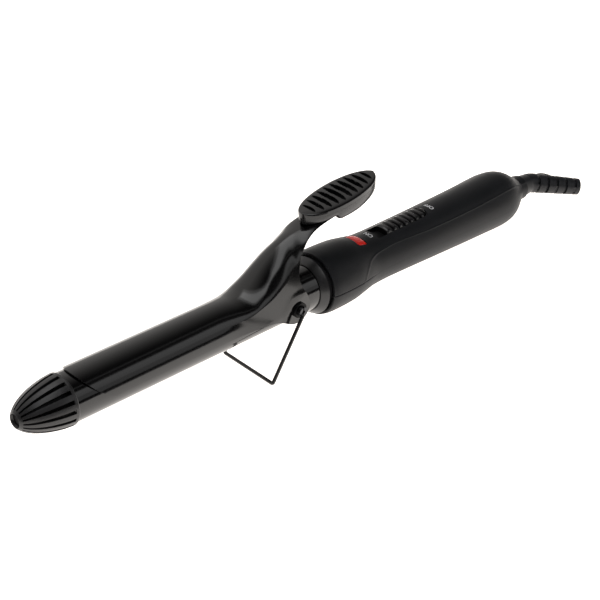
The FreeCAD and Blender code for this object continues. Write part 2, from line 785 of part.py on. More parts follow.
def make_electrics():
    board = new_body("circuit_board")
    plan = sketch_on(board, "XY_Plane", "board_height")
    outline(plan, [("board_front", "-10.4"), ("board_front + board_length", "-10.4"),
                   ("board_front + board_length", "10.4"), ("board_front", "10.4")])
    pad(board, plan, "1.6")
    relief = sketch_on(board, "XY_Plane", "board_height")
    circle(relief, "1.2", "board_front + 3", "-8")
    circle(relief, "1.2", "board_front + 3", "8")
    doc.recompute()
    checked_cut(board, pocket(board, relief, "1.6", backwards=True))
    resistor = joined("dropper_resistor", [
        rod("resistor_body", "1.3", "6.5", ("board_front + 7", "-7.4", "board_height + 3.1")),
        rod("resistor_lead", "0.3", "10.5", ("board_front + 5", "-7.4", "board_height + 3.1"))])
    name_sub_part(resistor, "dropper_resistor")
    leads = []
    for side in ("-4.2", "4.2"):
        leads.append(rod("supply_lead", "0.9", "60",
                         ("board_front + board_length - 8", side, "board_height - 1.1")))
    group("supply_leads", leads)


# ---------------------------------------------------------------- cord swivel and guard

def make_swivel():
    turned_body("swivel_socket", [
        ("handle_end - 27", "5.0"),
        ("handle_end - 27", "9.6"),
        ("handle_end - 13", "9.6"),
        ("handle_end - 9", "8.2"),
        ("handle_end - 5", "7.4"),
        ("handle_end - 5", "5.0"),
        ("handle_end - 10", "5.0"),
        ("handle_end - 10", "7.4"),
        ("handle_end - 25.5", "7.4"),
        ("handle_end - 25.5", "5.0")])
    plug = turned_body("swivel_plug", [
        ("handle_end - 30", "1.6"),
        ("handle_end - 30", "4.0"),
        ("handle_end - 13.5", "4.0"),
        ("handle_end - 13.5", "7.0"),
        ("handle_end - 11", "7.0"),
        ("handle_end - 11", "4.6"),
        ("handle_end - 1", "4.6"),
        ("handle_end - 1", "1.6")])
    rings = []
    for offset in ("24", "19"):
        ring = rod("ring", "4.7", "2.6", ("handle_end - " + offset, "0", "0"))
        hole = rod("ring_hole", "4.02", "2.6", ("handle_end - " + offset, "0", "0"))
        rings.append(cut("slip_ring", ring, hole))
    group("slip_rings", rings)
    blades = []
    for offset in ("24", "19"):
        blades.append(block("contact_blade", "2.0", "7.0", "0.4",
                            ("handle_end - %s + 0.3" % offset, "-3.5", "5.2")))
    group("contact_blades", blades)
    return plug


def guard_route():
    """The guard's straight start, the middle of its bend, and its frame after the bend."""
    yaw = math.radians(size("guard_yaw"))
    droop = math.radians(size("guard_droop"))
    onward = FreeCAD.Vector(math.cos(yaw) * math.cos(droop), -math.sin(yaw) * math.cos(droop),
                            -math.sin(droop))
    begin = FreeCAD.Vector(size("handle_end - 0.6"), 0, 0)
    corner = FreeCAD.Vector(size("handle_end + guard_straight"), 0, 0)
    turn = X_AXIS.getAngle(onward)
    tangent = size("guard_bend_radius") * math.tan(turn / 2)
    return begin, corner - X_AXIS * tangent, corner + onward * tangent, onward, turn


def turned_tube(start, direction, profile):
    """A solid turned about a line through start, from (distance, radius) corners."""
    sideways = direction.cross(Z_AXIS).normalize()
    points = [start + direction * along + sideways * radius for along, radius in profile]
    section = Part.Face(Part.makePolygon(points + points[:1]))
    return section.revolve(start, direction, 360)


def make_guard():
    """Elbow with a ribbed sleeve, a bore for the cord and a hanging loop behind the bend."""
    begin, bend_start, bend_end, onward, turn = guard_route()
    thick = size("guard_radius")
    thin = size("guard_end_radius")
    bore = size("cord_bore_radius")
    sleeve_length = size("guard_sleeve")
    neck_length = (bend_start - begin).Length
    neck = turned_tube(begin, X_AXIS, [
        (0, bore), (0, size("guard_root_radius")), (neck_length, thick), (neck_length, bore)])

    bend_axis = X_AXIS.cross(onward).normalize()
    centre = bend_start + bend_axis.cross(X_AXIS) * size("guard_bend_radius")
    outer = Part.Wire(Part.Circle(bend_start, X_AXIS, thick).toShape())
    inner = Part.Wire(Part.Circle(bend_start, X_AXIS, bore).toShape())
    bend = Part.Face(outer).revolve(centre, bend_axis, math.degrees(turn)).cut(
        Part.Face(inner).revolve(centre, bend_axis, math.degrees(turn)))

    groove = 1.7
    groove_floor = bore + 1.1
    centres = [2.2 + 6.1 * index for index in range(5)]
    profile = [(0, bore), (0, thick)]
    for centre_line in centres:
        for along, inside in ((-0.5, False), (-0.5, True), (0.5, True), (0.5, False)):
            reach = centre_line + along * groove
            surface = thick + (thin - thick) * reach / sleeve_length
            profile.append((reach, groove_floor if inside else surface))
    profile.append((sleeve_length, thin))
    profile.append((sleeve_length, bore))
    sleeve = turned_tube(bend_end, onward, profile)

    sideways = Z_AXIS.cross(onward).normalize()
    upwards = onward.cross(sideways)
    turned = FreeCAD.Rotation(onward, sideways, upwards, "XYZ")
    bridges = []
    for index, centre_line in enumerate(centres):
        for side in (-1, 1):
            corner = bend_end + onward * (centre_line - groove / 2 - 0.3)
            if index % 2:
                bar = Part.makeBox(groove + 0.6, 3.0, 1.2)
                corner = corner - sideways * 1.5 + upwards * (side * (bore + 1.3) - 0.6)
            else:
                bar = Part.makeBox(groove + 0.6, 1.2, 3.0)
                corner = corner - upwards * 1.5 + sideways * (side * (bore + 1.3) - 0.6)
            bar.Placement = FreeCAD.Placement(corner, turned)
            bridges.append(bar)

    loop_first = bend_end + onward * 5.2 + sideways * 4.3
    loop_middle = bend_end + onward * 11.2 + sideways * 12.6
    loop_last = bend_end + onward * 17.2 + sideways * 4.3
    loop_arc = Part.Arc(loop_first, loop_middle, loop_last)
    loop_start = Part.Circle(loop_first, loop_arc.tangent(loop_arc.FirstParameter)[0], 1.1)
    eye = Part.Wire([loop_arc.toShape()]).makePipeShell(
        [Part.Wire(loop_start.toShape())], True, False)

    guard = doc.addObject("Part::Feature", "cord_guard")
    guard.Shape = neck.multiFuse([bend, sleeve, eye] + bridges)
    name_sub_part(guard, "cord_guard")


# ---------------------------------------------------------------- resting stance

def handle_lowest(tilt):
    """Lowest level of the handle when the iron is tipped by an angle, tip up."""
    curve = Part.BSplineCurve()
    curve.interpolate([FreeCAD.Vector(size(x), size(r), 0)
                       for x, r in handle_radius_stations()])
    first, last = curve.FirstParameter, curve.LastParameter
    samples = 400
    points = [curve.value(first + (last - first) * index / samples)
              for index in range(samples + 1)]
    return min(-point.x * math.sin(tilt) - point.y * math.cos(tilt) for point in points)


def stand_lowest(tilt):
    lean = math.radians(size("stand_lean"))
    foot_x = size("hinge_station") - size("stand_reach") * math.sin(lean)
    foot_z = size("hinge_height") - size("stand_reach") * math.cos(lean)
    return -foot_x * math.sin(tilt) + foot_z * math.cos(tilt) - size("wire_radius")


def resting_tilt():
    """Angle at which the stand and the rear of the handle touch one level plane."""
    low, high = 0.0, math.radians(15)
    for _ in range(60):
        middle = (low + high) / 2
        if handle_lowest(middle) > stand_lowest(middle):
            low = middle
        else:
            high = middle
    return (low + high) / 2


def stand_on_table():
    """Give every sub-part the same placement, on top of its own."""
    tilt = resting_tilt()
    turn = FreeCAD.Placement(FreeCAD.Vector(), FreeCAD.Rotation(Y_AXIS, math.degrees(tilt)))
    whole = Part.makeCompound([piece.Shape.copy() for piece in sub_parts])
    whole.Placement = turn
    box = whole.optimalBoundingBox(False)
    shift = FreeCAD.Vector(-(box.XMin + box.XMax) / 2, -(box.YMin + box.YMax) / 2,
                           -handle_lowest(tilt))
    stance = FreeCAD.Placement(shift, FreeCAD.Rotation()).multiply(turn)
    for piece in sub_parts:
        piece.Placement = stance.multiply(piece.Placement)
    print("tilt %.4f degrees, shift %.4f %.4f %.4f" % (
        math.degrees(tilt), shift.x, shift.y, shift.z))


def check_document():
    for thing in doc.Objects:
        if "Invalid" in thing.State or "Error" in thing.State:
            raise RuntimeError("%s (%s) failed: %s" % (thing.Name, thing.Label, thing.State))
    for piece in sub_parts:
        if piece.Shape.isNull() or not piece.Shape.isValid():
            raise RuntimeError("bad shape: " + piece.Label)


make_barrel_tube()
make_tip_cap()
make_collar()
make_handle_shells()
make_housing_screws()
make_pivot_studs()
make_pivot_washers()
make_clamp_springs()
make_clamp_plate()
make_thumb_rest()
make_stand()
make_switch()
make_heater()
make_electrics()
make_swivel()
make_guard()
doc.recompute()
check_document()
stand_on_table()
doc.recompute()
check_document()

os.makedirs("parts", exist_ok=True)
for piece in sub_parts:
    print("%-22s solids %d volume %.1f" % (piece.Label, len(piece.Shape.Solids),
                                           piece.Shape.Volume))
    piece.Shape.exportStep("parts/%s.step" % piece.Label)
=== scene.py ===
import json
import math

import bmesh
import bpy
from mathutils import Matrix, Quaternion, Vector


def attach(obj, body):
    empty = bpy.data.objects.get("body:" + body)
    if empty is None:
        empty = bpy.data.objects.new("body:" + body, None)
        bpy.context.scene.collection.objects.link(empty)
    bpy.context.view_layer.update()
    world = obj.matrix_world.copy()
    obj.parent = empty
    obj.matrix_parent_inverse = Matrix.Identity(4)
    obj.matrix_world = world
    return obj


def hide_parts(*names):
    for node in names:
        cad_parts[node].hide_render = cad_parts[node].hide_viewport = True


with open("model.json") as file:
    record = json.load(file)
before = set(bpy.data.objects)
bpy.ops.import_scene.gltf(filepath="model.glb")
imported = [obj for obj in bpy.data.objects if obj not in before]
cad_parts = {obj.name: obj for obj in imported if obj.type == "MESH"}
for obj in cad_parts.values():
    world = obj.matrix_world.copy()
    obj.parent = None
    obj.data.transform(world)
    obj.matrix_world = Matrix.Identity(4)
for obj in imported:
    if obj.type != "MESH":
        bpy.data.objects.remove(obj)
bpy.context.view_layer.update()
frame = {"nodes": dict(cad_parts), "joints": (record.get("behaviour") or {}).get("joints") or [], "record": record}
joints = {joint["name"]: joint for joint in frame["joints"]}

MM = 0.001

# ---------------------------------------------------------------- the iron's own axes
# Pieces are drawn in millimetres with X along the barrel from its tip, Y across and Z up,
# then turned into the frame, where the iron leans on its stand.

HINGE = Vector((162.3, 0.0, 1.4))
ALONG = -Vector(joints["switch_slide"]["axis"]).normalized()
ACROSS = Vector((0.0, 1.0, 0.0))
UPWARD = ALONG.cross(ACROSS)
AXES = Matrix((ALONG, ACROSS, UPWARD)).transposed()
ORIGIN = Vector(joints["clamp_hinge"]["pos_m"]) - AXES @ (HINGE * MM)
IRON = Matrix.Translation(ORIGIN) @ AXES.to_4x4() @ Matrix.Scale(MM, 4)


def add_object(name, data):
    """A new object in the scene."""
    thing = bpy.data.objects.new(name, data)
    bpy.context.scene.collection.objects.link(thing)
    return thing


def piece(name, mesh, body, material, replaced=(), sharp=35.0):
    """An object from a mesh drawn in the iron's axes, riding on a body."""
    mesh.transform(IRON)
    mesh.materials.clear()
    mesh.materials.append(material)
    mesh.shade_smooth()
    mesh.set_sharp_from_angle(angle=math.radians(sharp))
    thing = add_object(name, mesh)
    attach(thing, body)
    if replaced:
        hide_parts(*replaced)
    return thing


def mesh_of(name, build):
    """Mesh from a bmesh, with its normals made consistent."""
    bmesh.ops.recalc_face_normals(build, faces=build.faces[:])
    mesh = bpy.data.meshes.new(name)
    build.to_mesh(mesh)
    build.free()
    return mesh


def lathe(name, profile, count):
    """Closed solid of revolution about X from (station, radius) corners."""
    build = bmesh.new()
    rings = []
    for station, radius in profile:
        if radius == 0:
            rings.append([build.verts.new((station, 0, 0))] * count)
            continue
        rings.append([build.verts.new((station, radius * math.cos(math.tau * step / count),
                                       radius * math.sin(math.tau * step / count)))
                      for step in range(count)])
    for first, second in zip(rings, rings[1:] + rings[:1]):
        for step in range(count):
            after = (step + 1) % count
            corners = dict.fromkeys((first[step], first[after], second[after], second[step]))
            if len(corners) > 2:
                build.faces.new(tuple(corners))
    return mesh_of(name, build)


def ring_point(station, radius, angle):
    """Point of a round section at an angle from its top."""
    return Vector((station, radius * math.sin(angle), radius * math.cos(angle)))


def grid(build, rows, skip=None):
    """Quads between rows of points, leaving out cells that skip() names."""
    made = [[build.verts.new(point) for point in row] for row in rows]
    for r, (first, second) in enumerate(zip(made, made[1:])):
        for c in range(len(first) - 1):
            if skip and skip(r, c):
                continue
            build.faces.new((first[c], first[c + 1], second[c + 1], second[c]))
    return made


def spread(first, last, count):
    """Evenly spaced values from first to last, count steps apart."""
    return [first + (last - first) * step / count for step in range(count + 1)]


def smooth(value):
    """Soft step from 0 to 1 as the value goes from 0 to 1."""
    value = min(max(value, 0.0), 1.0)
    return value * value * (3 - 2 * value)


def between(table, x):
    """Smooth curve through (x, value) pairs."""
    if x <= table[0][0]:
        return table[0][1]
    if x >= table[-1][0]:
        return table[-1][1]
    for index in range(len(table) - 1):
        x0, v0 = table[index]
        x1, v1 = table[index + 1]
        if x0 <= x <= x1:
            break
    before = table[max(index - 1, 0)]
    after = table[min(index + 2, len(table) - 1)]
    m0 = (v1 - before[1]) / (x1 - before[0])
    m1 = (after[1] - v0) / (after[0] - x0)
    t = (x - x0) / (x1 - x0)
    span = x1 - x0
    return ((2 * t ** 3 - 3 * t ** 2 + 1) * v0 + (t ** 3 - 2 * t ** 2 + t) * span * m0
            + (3 * t ** 2 - 2 * t ** 3) * v1 + (t ** 3 - t ** 2) * span * m1)


def thicken(thing, thickness):
    """Give a sheet its wall, inwards from the drawn face."""
    wall = thing.modifiers.new("wall", "SOLIDIFY")
    wall.thickness = thickness * MM
    wall.offset = -1.0
    wall.use_even_offset = True


def round_edges(thing, width, angle):
    """Round the edges that turn by more than an angle in degrees."""
    edge = thing.modifiers.new("edges", "BEVEL")
    edge.width = width * MM
    edge.segments = 3
    edge.limit_method = "ANGLE"
    edge.angle_limit = math.radians(angle)
    edge.harden_normals = True


def cut_by(thing, cutters):
    """Cut solids out of a piece and leave none of the cutters in the scene."""
    for cutter in cutters:
        change = thing.modifiers.new("opening", "BOOLEAN")
        change.operation = "DIFFERENCE"
        change.solver = "EXACT"
        change.object = cutter
    bpy.context.view_layer.update()
    shape = thing.evaluated_get(bpy.context.evaluated_depsgraph_get())
    mesh = bpy.data.meshes.new_from_object(shape)
    thing.modifiers.clear()
    thing.data = mesh
    for cutter in cutters:
        bpy.data.objects.remove(cutter)


# ---------------------------------------------------------------- materials

REFRACTION = 1.48
FINISHES = {}


def surface(name, colour, roughness, metallic=0.0, grain=900.0, bump=0.0, tint=0.12,
            rough_spread=0.06, specular=0.5, stretch=(1, 1, 1)):
    """Moulded or coated surface whose colour, roughness and relief vary with a fine grain."""
    material = bpy.data.materials.new(name)
    material.use_nodes = True
    nodes, links = material.node_tree.nodes, material.node_tree.links
    shader = nodes["Principled BSDF"]
    shader.inputs["Metallic"].default_value = metallic
    shader.inputs["IOR"].default_value = REFRACTION
    shader.inputs["Specular IOR Level"].default_value = specular
    place = nodes.new("ShaderNodeTexCoord")
    mapping = nodes.new("ShaderNodeMapping")
    mapping.inputs["Scale"].default_value = stretch
    links.new(place.outputs["Object"], mapping.inputs["Vector"])
    fine = nodes.new("ShaderNodeTexNoise")
    fine.inputs["Scale"].default_value = grain
    fine.inputs["Detail"].default_value = 3.0
    links.new(mapping.outputs["Vector"], fine.inputs["Vector"])
    broad = nodes.new("ShaderNodeTexNoise")
    broad.inputs["Scale"].default_value = 45.0
    broad.inputs["Detail"].default_value = 4.0
    links.new(place.outputs["Object"], broad.inputs["Vector"])
    ramp = nodes.new("ShaderNodeValToRGB")
    ramp.color_ramp.elements[0].position = 0.3
    ramp.color_ramp.elements[1].position = 0.7
    ramp.color_ramp.elements[0].color = [max(c * (1 - tint), 0) for c in colour] + [1]
    ramp.color_ramp.elements[1].color = [min(c * (1 + tint), 1) for c in colour] + [1]
    links.new(broad.outputs["Fac"], ramp.inputs["Fac"])
    links.new(ramp.outputs["Color"], shader.inputs["Base Color"])
    wear = nodes.new("ShaderNodeMapRange")
    wear.inputs["To Min"].default_value = max(roughness - rough_spread, 0.02)
    wear.inputs["To Max"].default_value = roughness + rough_spread
    links.new(broad.outputs["Fac"], wear.inputs["Value"])
    links.new(wear.outputs["Result"], shader.inputs["Roughness"])
    if bump:
        relief = nodes.new("ShaderNodeBump")
        relief.inputs["Strength"].default_value = bump
        relief.inputs["Distance"].default_value = 0.0002
        links.new(fine.outputs["Fac"], relief.inputs["Height"])
        links.new(relief.outputs["Normal"], shader.inputs["Normal"])
    FINISHES[name] = material
    return material


barrel_coating = surface("barrel_coating", (0.0012, 0.0012, 0.0014), 0.12, bump=0.01,
                         rough_spread=0.03, specular=0.6)
clamp_coating = surface("clamp_coating", (0.0012, 0.0012, 0.0014), 0.14, bump=0.01,
                        rough_spread=0.03, specular=0.6)
tip_plastic = surface("tip_plastic", (0.010, 0.010, 0.011), 0.36, grain=1600, bump=0.10)
collar_plastic = surface("collar_plastic", (0.013, 0.013, 0.014), 0.32, grain=1500, bump=0.08)
handle_plastic = surface("handle_plastic", (0.0055, 0.006, 0.0074), 0.46, grain=2600, bump=0.16,
                         specular=0.2)
surface("inner_plastic", (0.62, 0.60, 0.55), 0.45, grain=1200, bump=0.1)
black_plastic = surface("black_plastic", (0.002, 0.002, 0.0024), 0.5, grain=1800, bump=0.12,
                        specular=0.12)
surface("steel", (0.055, 0.056, 0.06), 0.32, metallic=1.0, grain=1200, bump=0.08)
surface("spring_steel", (0.40, 0.41, 0.43), 0.32, metallic=1.0, grain=1500, bump=0.1)
surface("heater_ceramic", (0.66, 0.62, 0.55), 0.7, grain=1400, bump=0.2)
surface("aluminium", (0.72, 0.73, 0.75), 0.3, metallic=1.0, bump=0.1, stretch=(0.1, 1, 1))
surface("mica", (0.60, 0.50, 0.30), 0.3, grain=500, bump=0.1)
surface("wire_insulation", (0.55, 0.53, 0.48), 0.5, bump=0.1)
surface("board", (0.05, 0.16, 0.07), 0.4, grain=700, bump=0.1)
surface("resistor", (0.55, 0.42, 0.26), 0.45, bump=0.1)
surface("lamp_glass", (0.75, 0.40, 0.25), 0.1, bump=0.02)
surface("brass", (0.72, 0.54, 0.25), 0.28, metallic=1.0, bump=0.08)
rest_gloss = surface("rest_gloss", (0.0015, 0.0015, 0.0018), 0.16, bump=0.02)
rest_body = surface("rest_body", (0.005, 0.005, 0.0055), 0.26, grain=1600, bump=0.06)
stand_paint = surface("stand_paint", (0.006, 0.006, 0.007), 0.26, grain=1300, bump=0.1)
slider_plastic = surface("slider_plastic", (0.002, 0.002, 0.0024), 0.24, grain=1800, bump=0.06)
surface("guard_rubber", (0.007, 0.0075, 0.0095), 0.42, grain=2000, bump=0.16, specular=0.35)
mark_paint = surface("mark_paint", (0.70, 0.71, 0.73), 0.45, grain=1500, bump=0.05)

lens_red = surface("lens_red", (0.62, 0.018, 0.012), 0.14, grain=600, bump=0.03)
lens_shader = lens_red.node_tree.nodes["Principled BSDF"]
lens_shader.inputs["Transmission Weight"].default_value = 0.2
lens_shader.inputs["Emission Color"].default_value = (0.8, 0.02, 0.01, 1)
lens_shader.inputs["Emission Strength"].default_value = 0.08

# Every CAD node wears the material that its part names, unless a piece replaces it.
for part in frame["record"]["subparts"]:
    node = frame["nodes"][part["node"]]
    node.data.materials.clear()
    node.data.materials.append(FINISHES[part["material_slot"]])

# ---------------------------------------------------------------- barrel and tip

piece("barrel", lathe("barrel", [
    (24.6, 11.9), (24.4, 12.2), (24.7, 12.5), (60, 12.5), (120, 12.5), (203, 12.5),
    (203, 11.7), (24.6, 11.7)], 192), "handle", barrel_coating, ["barrel_tube"])

CAP_CURVE = ((0.0, 3.4), (0.3, 4.0), (0.9, 4.7), (2.1, 5.75), (4.2, 7.3), (7.4, 9.0),
             (11.0, 10.4), (15.3, 11.65), (20.5, 12.7), (24.5, 13.1), (26.0, 13.2), (26.4, 13.0))
CAP_FRONT, CAP_REAR, CAP_WALL = 0.1, 26.4, 1.5
SLOTS = 17
SLOT_FRONT, SLOT_REAR = 1.3, 24.6
SLOT_HALF_WIDTH = ((0.0, 0.38), (4.0, 0.5), (12.0, 0.8), (24.6, 1.05))
FIRST_SLOT = 0.97


def make_tip():
    """Domed cap with tapering slots all round and a round hole in its nose."""
    stations = (spread(CAP_FRONT, SLOT_FRONT, 4) + spread(SLOT_FRONT, SLOT_REAR, 34)[1:]
                + spread(SLOT_REAR, CAP_REAR, 6)[1:])
    sector = math.tau / SLOTS
    rows = []
    for station in stations:
        radius = between(CAP_CURVE, station)
        half = math.asin(between(SLOT_HALF_WIDTH, station) / radius)
        row = []
        for index in range(SLOTS):
            middle = sector * (index + FIRST_SLOT)
            free = sector / 2 - half
            offsets = [-sector / 2, -half - free * 0.5, -half - free * 0.12, -half, half,
                       half + free * 0.12, half + free * 0.5]
            row += [ring_point(station, radius, middle + offset) for offset in offsets]
        row.append(row[0].copy())
        rows.append(row)

    def is_slot(r, c):
        """Cells between the two middle columns of each sector, along the slot."""
        return c % 7 == 3 and SLOT_FRONT <= (stations[r] + stations[r + 1]) / 2 <= SLOT_REAR

    build = bmesh.new()
    grid(build, rows, is_slot)
    bmesh.ops.remove_doubles(build, verts=build.verts[:], dist=0.001)
    cap = piece("vented_tip", mesh_of("vented_tip", build), "handle",
                tip_plastic, ["tip_cap"], sharp=50)
    thicken(cap, CAP_WALL)
    round_edges(cap, 0.22, 50)


make_tip()
piece("tip_core", lathe("tip_core", [
    (1.7, 0), (1.7, 3.3), (3.2, 4.6), (5.1, 6.0), (14.0, 8.8), (22.0, 9.8), (38.0, 9.8),
    (38.0, 0)], 64),
    "handle", black_plastic)

# ---------------------------------------------------------------- clamp

PIPE = 13.5
SHEET = 0.7
# The half pipe runs to PIPE_END and turns into the lever over TURN; the crease between crown
# and flat side ends at the top of the side's rear edge, and the lever ends in the thumb rest.
PIPE_END, TURN, CREASE_END, LEVER_END = 112.0, 16.0, 166.9, 198.0
FLAT_SIDE = 15.2
QUARTER = math.pi / 2
# Height of the crown's top, height of the crease and half the width at the crease, by station.
CROWN = ((112, 13.5), (118, 13.4), (124, 13.3), (130, 13.4), (136, 15.0), (142, 18.8),
         (150, 26.2), (158, 31.9), (166, 35.7), (174, 38.2), (184, 41.1), (200, 43.8))
CREASE = ((104, 7.0), (112, 7.0), (124, 7.0), (129.5, 7.4), (134, 8.2), (138, 9.6), (147, 12.8),
          (154.5, 17.4), (162, 22.4), (166.9, 28.4), (173, 35.2), (181, 38.9), (200, 42.2))
WIDTH = ((112, 11.55), (125, 12.0), (140, 12.4), (150, 12.3), (158, 11.8), (164, 10.7),
         (168, 9.6), (173, 8.4), (181, 7.3), (200, 6.8))
CREASE_ANGLE = math.acos(7.0 / PIPE)
CROWN_SPAN = 0.92
SIDE_SHARES = [0.0, 0.03, 0.07] + spread(0.125, 1.0, 14)
EAR = (163.0, 0.6)
EAR_RADIUS, EAR_STEP, EAR_RISE = 11.6, 2.4, 0.3


def tongue_front(angle):
    """Station of the clamp's rounded front edge at an angle from its top."""
    side = PIPE * math.sin(angle)
    edge = 43.8 - math.sqrt(192.1 - side * side)
    return edge + 5.6 * (abs(angle) / QUARTER) ** 7


def crown_point(station, t):
    """Point on the crown, t from -1 at the near crease to 1 at the far one."""
    angle = CREASE_ANGLE * t
    pipe = ring_point(station, PIPE, angle)
    if station <= PIPE_END:
        return pipe
    top, crease, half = between(CROWN, station), between(CREASE, station), between(WIDTH, station)
    fall = (1 - math.sqrt(1 - (CROWN_SPAN * t) ** 2)) / (1 - math.sqrt(1 - CROWN_SPAN ** 2))
    lever = Vector((station, half * t, top - (top - crease) * fall))
    return pipe.lerp(lever, smooth((station - PIPE_END) / TURN))


# Lower and rear outline of the flat side, from the front to the top of its rear edge.
SIDE_EDGE = ((112, 0.0), (124, 0.0), (134, 0.0), (142, -0.3), (148, -1.4), (153, -3.4),
             (156.5, -5.2), (159.6, -6.4), (162.6, -6.6), (165.6, -5.9), (168.2, -4.0),
             (169.9, -1.3), (170.6, 0.8), (170.3, 3.0), (168.1, 7.8), (166.0, 11.3),
             (164.6, 14.6), (164.0, 18.4), (164.9, 22.9), (166.9, 28.4))


def along_edge(points, count):
    """Evenly spaced points on a chain of (x, z) corners, rounded where they turn."""
    lengths = [0.0]
    for a, b in zip(points, points[1:]):
        lengths.append(lengths[-1] + math.hypot(b[0] - a[0], b[1] - a[1]))
    xs = list(zip(lengths, (p[0] for p in points)))
    zs = list(zip(lengths, (p[1] for p in points)))
    return [(between(xs, s), between(zs, s)) for s in spread(0.0, lengths[-1], count)]


def boss_height(x, z):
    """The ear stands a little proud of the flat side, with a rolled step round its front."""
    away = math.hypot(x - EAR[0], z - EAR[1])
    return EAR_RISE * smooth((EAR_RADIUS - away) / EAR_STEP)


def side_point(top, edge, share, side, blend):
    """Point of the flat side, a share of the way down from the crease to its outline."""
    flat = Vector((top.x + (edge[0] - top.x) * share, 0, top.z + (edge[1] - top.z) * share))
    reach = FLAT_SIDE + boss_height(flat.x, flat.z)
    settle = min(share * math.hypot(edge[0] - top.x, edge[1] - top.z) / 14, 1.0)
    leaning = abs(top.y) + (reach - abs(top.y)) * settle
    angle = CREASE_ANGLE + (QUARTER - CREASE_ANGLE) * share
    curved = PIPE * math.sin(angle)
    flat.y = side * (curved + (leaning - curved) * blend)
    flat.z = PIPE * math.cos(angle) * (1 - blend) + flat.z * blend
    return flat


def make_clamp():
    """Half-pipe blade, crowned lever and flat sides with round ears, from one sheet."""
    build = bmesh.new()
    crown_columns = [-1.0, -0.965] + spread(-0.93, 0.93, 40) + [0.965, 1.0]
    ends = [CREASE_ANGLE + (QUARTER - CREASE_ANGLE) * share for share in SIDE_SHARES[:0:-1]]
    pipe_angles = ([-a for a in ends] + [CREASE_ANGLE * t for t in crown_columns]
                   + ends[::-1])
    tongue_end = 60.0
    fronts = [tongue_front(angle) for angle in pipe_angles]
    rows = [[ring_point(front + (tongue_end - front) * share, PIPE, angle)
             for front, angle in zip(fronts, pipe_angles)] for share in spread(0.0, 1.0, 14)]
    rows += [[ring_point(station, PIPE, angle) for angle in pipe_angles]
             for station in spread(tongue_end, PIPE_END, 14)[1:]]
    grid(build, rows)

    side_count = 64
    crease_stations = spread(PIPE_END, CREASE_END, side_count)
    stations = crease_stations + spread(CREASE_END, LEVER_END, 26)[1:]
    grid(build, [[crown_point(station, t) for t in crown_columns] for station in stations])

    outline = along_edge(SIDE_EDGE, side_count)
    for side in (-1, 1):
        rows = []
        for station, edge in zip(crease_stations, outline):
            top = crown_point(station, side)
            blend = smooth((station - PIPE_END) / TURN)
            rows.append([side_point(top, edge, share, side, blend) for share in SIDE_SHARES])
        grid(build, rows)
    bmesh.ops.remove_doubles(build, verts=build.verts[:], dist=0.01)
    clamp = piece("clamp_blade", mesh_of("clamp_blade", build), "clamp",
                  clamp_coating, ["clamp_plate"], sharp=60)
    thicken(clamp, SHEET)
    round_edges(clamp, 0.16, 60)


make_clamp()

# ---------------------------------------------------------------- thumb rest

SLOPE = math.radians(8.2)
SEAT = Matrix.Translation((201.0, 0, 50.0)) @ Matrix.Rotation(-SLOPE, 4, "Y")
REST_HALF, REST_WIDTH = 26.6, 10.3
BODY_END, BODY_HALF, BODY_WIDTH = 26.5, 26.52, 10.26
GROOVES, GROOVE_PITCH = 10, 4.6
LID_EDGE, LID_BOTTOM, BODY_TOP = -2.3, -3.0, -3.05
# Height of the underside along the rest, with the step behind the lever's end.
UNDERSIDE = ((-27, -6.4), (-24, -6.6), (-17, -7.0), (-11.4, -6.6), (-9.4, -6.7), (-7.2, -9.5),
             (-2, -10.1), (6, -10.2), (12, -9.7), (18, -9.0), (24, -8.3), (27, -8.0))
# How far down the side wall, and how far it has drawn in there, both as shares.
WALL = ((0.0, 0.0), (0.04, 0.0), (0.25, 0.0), (0.5, 0.02), (0.75, 0.06), (0.92, 0.11), (1.0, 0.19))


def leaf_half_width(along, half_length=REST_HALF, half_width=REST_WIDTH):
    """Half the width of the thumb rest's long oval."""
    share = min(abs(along) / half_length, 1.0)
    return half_width * (1 - share ** 2.1) ** 0.5


def groove_depth(along, across):
    """Depth of the crescent grooves across the rest."""
    deepest = 0.0
    for index in range(GROOVES):
        middle = (index - (GROOVES - 1) / 2) * GROOVE_PITCH
        reach = leaf_half_width(middle) - 2.0
        if reach <= 0.5 or abs(across) >= reach:
            continue
        half = (0.8 + 0.85 * (1 - (middle / 25) ** 2)) * (1 - (across / reach) ** 2) ** 0.6
        shift = along - middle - 0.35 * (1 - (across / reach) ** 2)
        if abs(shift) < half:
            deepest = max(deepest, min(1.7 * half, 2.4) * (1 - (shift / half) ** 8))
    return deepest


def rest_piece(name, rows, material, replaced, sharp):
    """Closed piece of the thumb rest, from sections drawn about its seat."""
    build = bmesh.new()
    grid(build, rows)
    bmesh.ops.remove_doubles(build, verts=build.verts[:], dist=0.01)
    mesh = mesh_of(name, build)
    mesh.transform(SEAT)
    piece(name, mesh, "clamp", material, replaced, sharp)


def round_spread(half, count):
    """Places from -half to half, closer together towards both ends."""
    return [half * math.sin(angle) for angle in spread(-QUARTER, QUARTER, count)]


